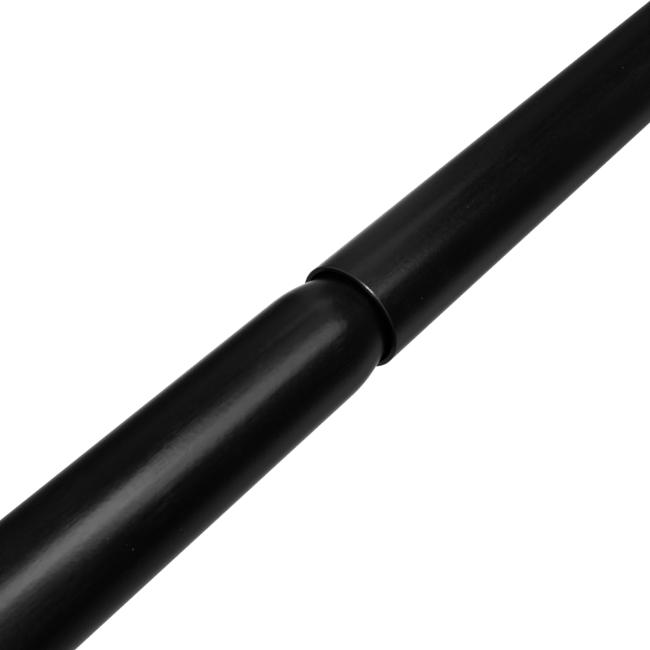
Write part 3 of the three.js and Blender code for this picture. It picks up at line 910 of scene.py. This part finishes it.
# ---- Upper end ----
def top_bumper():
    """The rubber plug in the upper tube's end, with a rounded crown."""
    start, end, radius = span("top_bumper")
    inner = TUBE_BORE - GAP
    outline = rounded([
        (start, 0),
        (start, inner, MM),
        (UPPER_END + GAP, inner),
        (UPPER_END + GAP, radius, 0.3 * MM),
        (UPPER_END + 3 * MM, radius, 2.2 * MM),
        (end, radius - 4.5 * MM, 3 * MM),
        (end, 0),
    ], steps=6)
    bumper = even_shading(turned("top_bumper_plug", outline, MEDIUM))
    return dress(bumper, "black_rubber", "upper", "top_bumper")


class Yoke:
    """Sizes that the yoke's pieces share, taken from the frame."""

    low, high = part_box("yoke_body")
    start, tip = low.x, high.x
    half_width = high.y
    lining_low, lining_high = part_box("yoke_lining")
    root = lining_low.x - GAP
    lining_tip = lining_high.x
    lining_half = lining_high.y
    lining_height = lining_high.z - AXIS_HEIGHT
    lining_thickness = 3.7 * MM
    lining_corner = 14 * MM
    mouth = 24.2 * MM
    sleeve_half = 24 * MM


def mouth_line(offset, end, steps=14):
    """The U line of the mouth, from +Y round to -Y, offset outward from the lining's face."""
    half = Yoke.lining_half - Yoke.lining_thickness + offset
    corner = Yoke.lining_corner + offset
    face = Yoke.root + GAP + Yoke.lining_thickness - offset
    line = [(end, half)]
    line += arc((face + corner, half - corner), corner, 90, 180, steps)
    line += arc((face + corner, corner - half), corner, 180, 270, steps)
    return line + [(end, -half)]


def fork_outline():
    """The fork seen from above: a waist that swells into two prongs with round tips."""
    base = Yoke.start + 34 * MM
    cheek = Yoke.root + 2 * MM
    tip_radius = 7.5 * MM
    tip = Yoke.tip - tip_radius
    tip_centre = Yoke.half_width - 1.5 * MM - tip_radius
    waist = Yoke.sleeve_half - 3 * MM
    side = [(base, waist)]
    swell = [(base, waist), (base + 14 * MM, Yoke.sleeve_half), (cheek - 16 * MM, Yoke.half_width)]
    side += curve([*swell, (cheek, Yoke.half_width)], 14)
    side += curve([(cheek, Yoke.half_width), (cheek + 14 * MM, Yoke.half_width),
                   (tip - 10 * MM, tip_centre + tip_radius), (tip, tip_centre + tip_radius)], 8)
    side += arc((tip, tip_centre), tip_radius, 90, -90, 14)
    side += [(tip - 5 * MM, Yoke.mouth)]
    inner = mouth_line(Yoke.mouth - Yoke.lining_half + Yoke.lining_thickness, tip - 6 * MM)
    return side + inner + [(x, -y) for x, y in reversed(side)]


def yoke_body():
    """The moulded yoke: a thick sleeve that flows into a two-pronged fork, bored for the tube."""
    sleeve_height = Yoke.high.z - AXIS_HEIGHT
    fork_height = 13 * MM  # half the fork's thickness
    corner = 13 * MM
    edge = 1.8 * MM
    nose = 13 * MM
    levels = []
    for step in range(5):
        angle = math.pi / 2 * step / 4
        inset = edge * (1 - math.sin(angle))
        reach = box_reach(Yoke.sleeve_half - inset, sleeve_height - inset, corner - inset)
        levels.append((Yoke.start + edge * (1 - math.cos(angle)), reach))
    for step in range(9):
        angle = math.pi / 2 * step / 8
        drop = (1 - math.cos(angle)) * (sleeve_height - fork_height)
        reach = box_reach(Yoke.sleeve_half, sleeve_height - drop, corner - drop * 0.6)
        levels.append((Yoke.root - 14 * MM + nose * math.sin(angle), reach))
    body = lofted("yoke_body_moulding", levels)
    fork = slab("fork", fork_outline(), -fork_height, fork_height, 2.6 * MM)
    carved(body, fork, join=True)
    melted(body, voxel=0.9 * MM, passes=9)
    bore = TUBE_RADIUS + GAP
    socket_end = span("top_bumper")[1] + 2 * MM
    lead_in = 1.2 * MM
    ring_start, ring_end, ring_radius = span("grip_ring")
    socket_line = rounded([
        (Yoke.start - MM, 0),
        (Yoke.start - MM, bore + lead_in),
        (Yoke.start + lead_in, bore),
        (socket_end, bore, MM),
        (socket_end, 0),
    ])
    groove_line = [
        (ring_start - GAP, bore - MM),
        (ring_start - GAP, ring_radius + GAP),
        (ring_end + GAP, ring_radius + GAP),
        (ring_end + GAP, bore - MM),
    ]
    pocket_line = mouth_line(Yoke.lining_thickness + GAP, Yoke.lining_tip + GAP)
    pocket_height = Yoke.lining_height + GAP
    carved(
        body,
        turned("bore", socket_line, MEDIUM),
        turned("ring_groove", groove_line, MEDIUM),
        slab("pocket", pocket_line, -pocket_height, pocket_height),
    )
    return dress(even_shading(body, 38), "moulded_black", "yoke", "yoke_body")


def yoke_lining():
    """The rubber strip round the mouth, ribbed across on the face that meets the knob."""
    bend = 60  # steps round each corner
    line = [Vector(p) for p in mouth_line(0, Yoke.lining_tip, bend)]
    dense = [line[0].lerp(line[1], i / 40) for i in range(40)] + line[1:bend + 1]
    dense += [line[bend + 1].lerp(line[bend + 2], i / 50) for i in range(50)]
    dense += line[bend + 2:-1] + [line[-2].lerp(line[-1], i / 40) for i in range(1, 41)]
    rib_pitch = 3 * MM
    rib_depth = 0.55 * MM
    travelled = 0
    loops = []
    for i, point in enumerate(dense):
        before, after = dense[max(i - 1, 0)], dense[min(i + 1, len(dense) - 1)]
        along = (after - before).normalized()
        outward = Vector((along.y, -along.x))
        if i:
            travelled += (point - dense[i - 1]).length
        dip = rib_depth * (0.5 - 0.5 * math.cos(TURN * travelled / rib_pitch)) ** 0.6
        section = rounded([
            (dip, -Yoke.lining_height, 0.5 * MM),
            (Yoke.lining_thickness, -Yoke.lining_height, 0.3 * MM),
            (Yoke.lining_thickness, Yoke.lining_height, 0.3 * MM),
            (dip, Yoke.lining_height, 0.5 * MM),
        ], steps=3)
        loop = []
        for offset, height in section:
            spot = point + outward * offset
            loop.append(ON_AXIS @ Vector((spot.x, spot.y, height)))
        loops.append(loop)
    bm = bmesh.new()
    rows = skin(bm, loops, closed=False)
    bm.faces.new(rows[0])
    bm.faces.new(rows[-1])
    lining = even_shading(piece("yoke_lining_rubber", bm), 55)
    return dress(lining, "black_rubber", "yoke", "yoke_lining")


def hidden_nodes():
    """The nodes left as they are, inside the tubes, take their slot's finish."""
    for node in frame["nodes"].values():
        slot = node.data.materials[0].name.split(".")[0]
        node.data.materials.clear()
        node.data.materials.append(FINISHES[slot])


upper_tube()
main_tube()
adjusting_tube()
end_collar()
foot_plug()
length_button()
button_spring()
for side in ("top", "bottom"):
    standing_screw(f"collar_screw_{side}", "main",
                   head_radius=3 * MM, head_height=1.5 * MM, shank=1.5 * MM)
    standing_screw(f"plug_screw_{side}", "lower",
                   head_radius=2.5 * MM, head_height=1.1 * MM, shank=1.3 * MM)
for number in range(1, 5):
    foot_screw(number)
ball_stud()
socket_liner()
retaining_ring()
foot_socket()
foot_plate()
foot_pad()
top_bumper()
yoke_body()
yoke_lining()
hidden_nodes()


# ---- Light ----
class Rig:
    """Softboxes placed about the joint, by view azimuth and elevation, in tube radii."""

    centre = Vector((JOINT, 0, AXIS_HEIGHT))

    @staticmethod
    def direction(azimuth, elevation):
        a, e = math.radians(azimuth), math.radians(elevation)
        return Vector((math.sin(a) * math.cos(e), -math.cos(a) * math.cos(e), math.sin(e)))

    @classmethod
    def softbox(cls, name, azimuth, elevation, distance, half_width, half_height, roll, radiance):
        light = bpy.data.lights.new(name, "AREA")
        light.shape = "RECTANGLE"
        light.size = 2 * half_width * TUBE_RADIUS
        light.size_y = 2 * half_height * TUBE_RADIUS
        light.energy = math.pi * light.size * light.size_y * radiance
        lamp = bpy.data.objects.new(name, light)
        bpy.context.scene.collection.objects.link(lamp)
        out = cls.direction(azimuth, elevation)
        side = Vector((0, 0, 1)).cross(out).normalized()
        up = out.cross(side)
        turn = math.radians(roll)
        right = side * math.cos(turn) + up * math.sin(turn)
        top = out.cross(right)
        facing = Matrix((right, top, out)).transposed().to_4x4()
        lamp.matrix_world = Matrix.Translation(cls.centre + out * distance * TUBE_RADIUS) @ facing


SOFTBOXES = [  # name, azimuth, elevation, distance, half width, half height, roll, radiance
    ("key_softbox", 0, 75.4, 22, 4.2, 4.6, -3, 4.1),
    ("side_softbox", 31.6, 55, 22.5, 6.6, 4.6, -3.5, 2.2),
    ("low_strip", 139.5, 4.7, 22, 2.4, 17.7, 4, 0.15),
    ("far_softbox", 120, 48, 22.5, 3.8, 3.2, -2, 0.55),
    ("end_softbox", 90, 60, 22, 4, 4, 0, 0.35),
    ("rim_strip", -61.6, 58.3, 40, 5, 2.7, -36, 45),
    ("yoke_end_panel", 90, 9, 126, 30, 20, 0, 1.2),
    ("foot_end_panel", 270, 14, 129, 30, 20, 0, 3),
]
GLOWS = [  # azimuth and elevation in degrees, tightness, radiance
    (133, -42, 24, 1.6),
    (127, -70, 4, 0.24),
    (47, -37, 30, 0.23),
    (139, 33, 19, 0.13),
    (60, 20, 6, 0.04),
    (90, -60, 1.5, 0.03),
    (245, 35, 6, 0.5),
    (300, 45, 6, 0.7),
    (270, -30, 6, 0.35),
]
SIDE_GLOWS = [  # the same, but only on the foot's side of the joint
    (0, 72, 14, 1.6),
    (0, 90, 4, 0.4),
    (0, 25, 8, 0.45),
    (180, 35, 8, 0.6),
]


def sum_of_glows(tree, way, glows):
    """Each glow fades evenly with the angle from its middle."""
    total = 0.0
    for azimuth, elevation, tightness, radiance in glows:
        toward = {0: way, 1: Rig.direction(azimuth, elevation)}
        near = add_node(tree, "ShaderNodeVectorMath", toward, "Value", operation="DOT_PRODUCT")
        fall = calculation(tree, "MULTIPLY_ADD", near, tightness, -tightness)
        glow = calculation(tree, "EXPONENT", fall)
        total = calculation(tree, "MULTIPLY_ADD", glow, radiance, total)
    return total


def sky():
    """The world as soft glows. The side glows fade before they reach the yoke's side."""
    world = bpy.data.worlds.new("sky")
    bpy.context.scene.world = world
    world.use_nodes = True
    tree = world.node_tree
    way = tree.nodes.new("ShaderNodeTexCoord").outputs["Generated"]
    along = add_node(tree, "ShaderNodeSeparateXYZ", {"Vector": way})
    fade = {"Value": along, "From Min": -0.05, "From Max": 0.15, "To Min": 1.0, "To Max": 0.0}
    curtain = add_node(tree, "ShaderNodeMapRange", fade, interpolation_type="SMOOTHSTEP")
    side_glow = sum_of_glows(tree, way, SIDE_GLOWS)
    glow = calculation(tree, "MULTIPLY_ADD", curtain, side_glow, sum_of_glows(tree, way, GLOWS))
    tree.links.new(glow, tree.nodes["Background"].inputs["Strength"])
    tree.nodes["Background"].inputs["Color"].default_value = (1, 1, 1, 1)


WHITE = 1.02  # radiance of the surround


def painted_contact_shadow(tree):
    """The share of white left on the floor: a painted shadow, less white near where the bar's two ends
    press on it.
    """
    nearby = add_node(tree, "ShaderNodeAmbientOcclusion", {"Distance": 45 * MM}, "AO", samples=12)
    darkening = {"Value": nearby, "From Min": 0.1, "From Max": 0.95, "To Min": 0.3}
    open_share = add_node(tree, "ShaderNodeMapRange", darkening)
    place = tree.nodes.new("ShaderNodeTexCoord").outputs["Object"]
    out = calculation(tree, "ABSOLUTE", add_node(tree, "ShaderNodeSeparateXYZ", {"Vector": place}))
    ends = {"Value": out, "From Min": 220 * MM, "From Max": 330 * MM}
    at_ends = add_node(tree, "ShaderNodeMapRange", ends, interpolation_type="SMOOTHSTEP")
    return add_node(tree, "ShaderNodeMix", {0: at_ends, 2: 1.0, 3: open_share})


def white_glow(name, painted_shadow):
    """Plain white, with the painted shadow at the bar's ends if that is asked for."""
    glow = bpy.data.materials.new(name)
    glow.use_nodes = True
    glow.cycles.emission_sampling = "NONE"
    tree = glow.node_tree
    tree.nodes.clear()
    # painted shadow: the floor's emitted white is dimmed near the bar's ends
    strength = calculation(tree, "MULTIPLY", painted_contact_shadow(tree), WHITE) if painted_shadow else WHITE
    shine = add_node(tree, "ShaderNodeEmission", {"Strength": strength})
    tree.links.new(shine, tree.nodes.new("ShaderNodeOutputMaterial").inputs["Surface"])
    return glow


def white_surround():
    """A white floor under the bar, painted with shadow at its ends, and a plain white dome over it, kept
    out of its reflections.
    """
    reach = 6.0
    below = -0.4 * MM
    corners = [TURN * k / 48 for k in range(48)]
    dome = []
    for elevation in range(0, 91, 6):
        angle = math.radians(elevation)
        out, up = reach * math.cos(angle), below + reach * math.sin(angle)
        dome.append([(out * math.cos(corner), out * math.sin(corner), up) for corner in corners])
    bm = bmesh.new()
    skin(bm, dome, closed=False)
    backdrop = piece("backdrop", bm)
    bm = bmesh.new()
    bm.faces.new([bm.verts.new(point) for point in dome[0]])
    floor = piece("floor", bm)
    # the floor carries the painted shadow, the backdrop none
    for part, painted_shadow in ((backdrop, False), (floor, True)):
        part.data.materials.append(white_glow(part.name + "_white", painted_shadow))
        part.visible_glossy = False
        part.visible_diffuse = False
        part.visible_shadow = False


def camera():
    """The view of the joint: from above the bar's -Y side, looking up along it."""
    azimuth, elevation = -49.77, 45.77
    distance, right_shift, up_shift = 18.837, 0.02085, 0.006144
    lens = bpy.data.cameras.new("camera")
    lens.lens = 62.3
    lens.sensor_width = 36
    lens.clip_start, lens.clip_end = 0.01, 50
    body = bpy.data.objects.new("camera", lens)
    bpy.context.scene.collection.objects.link(body)
    back = Rig.direction(azimuth, elevation)
    right = Vector((0, 0, 1)).cross(back).normalized()
    up = back.cross(right)
    away = -back + right * right_shift + up * up_shift
    facing = Matrix((right, up, back)).transposed().to_4x4()
    body.matrix_world = Matrix.Translation(Rig.centre - away * distance * TUBE_RADIUS) @ facing
    bpy.context.scene.camera = body


for softbox in SOFTBOXES:
    Rig.softbox(*softbox)
sky()
white_surround()
camera()
bpy.context.scene.view_settings.view_transform = "Standard"
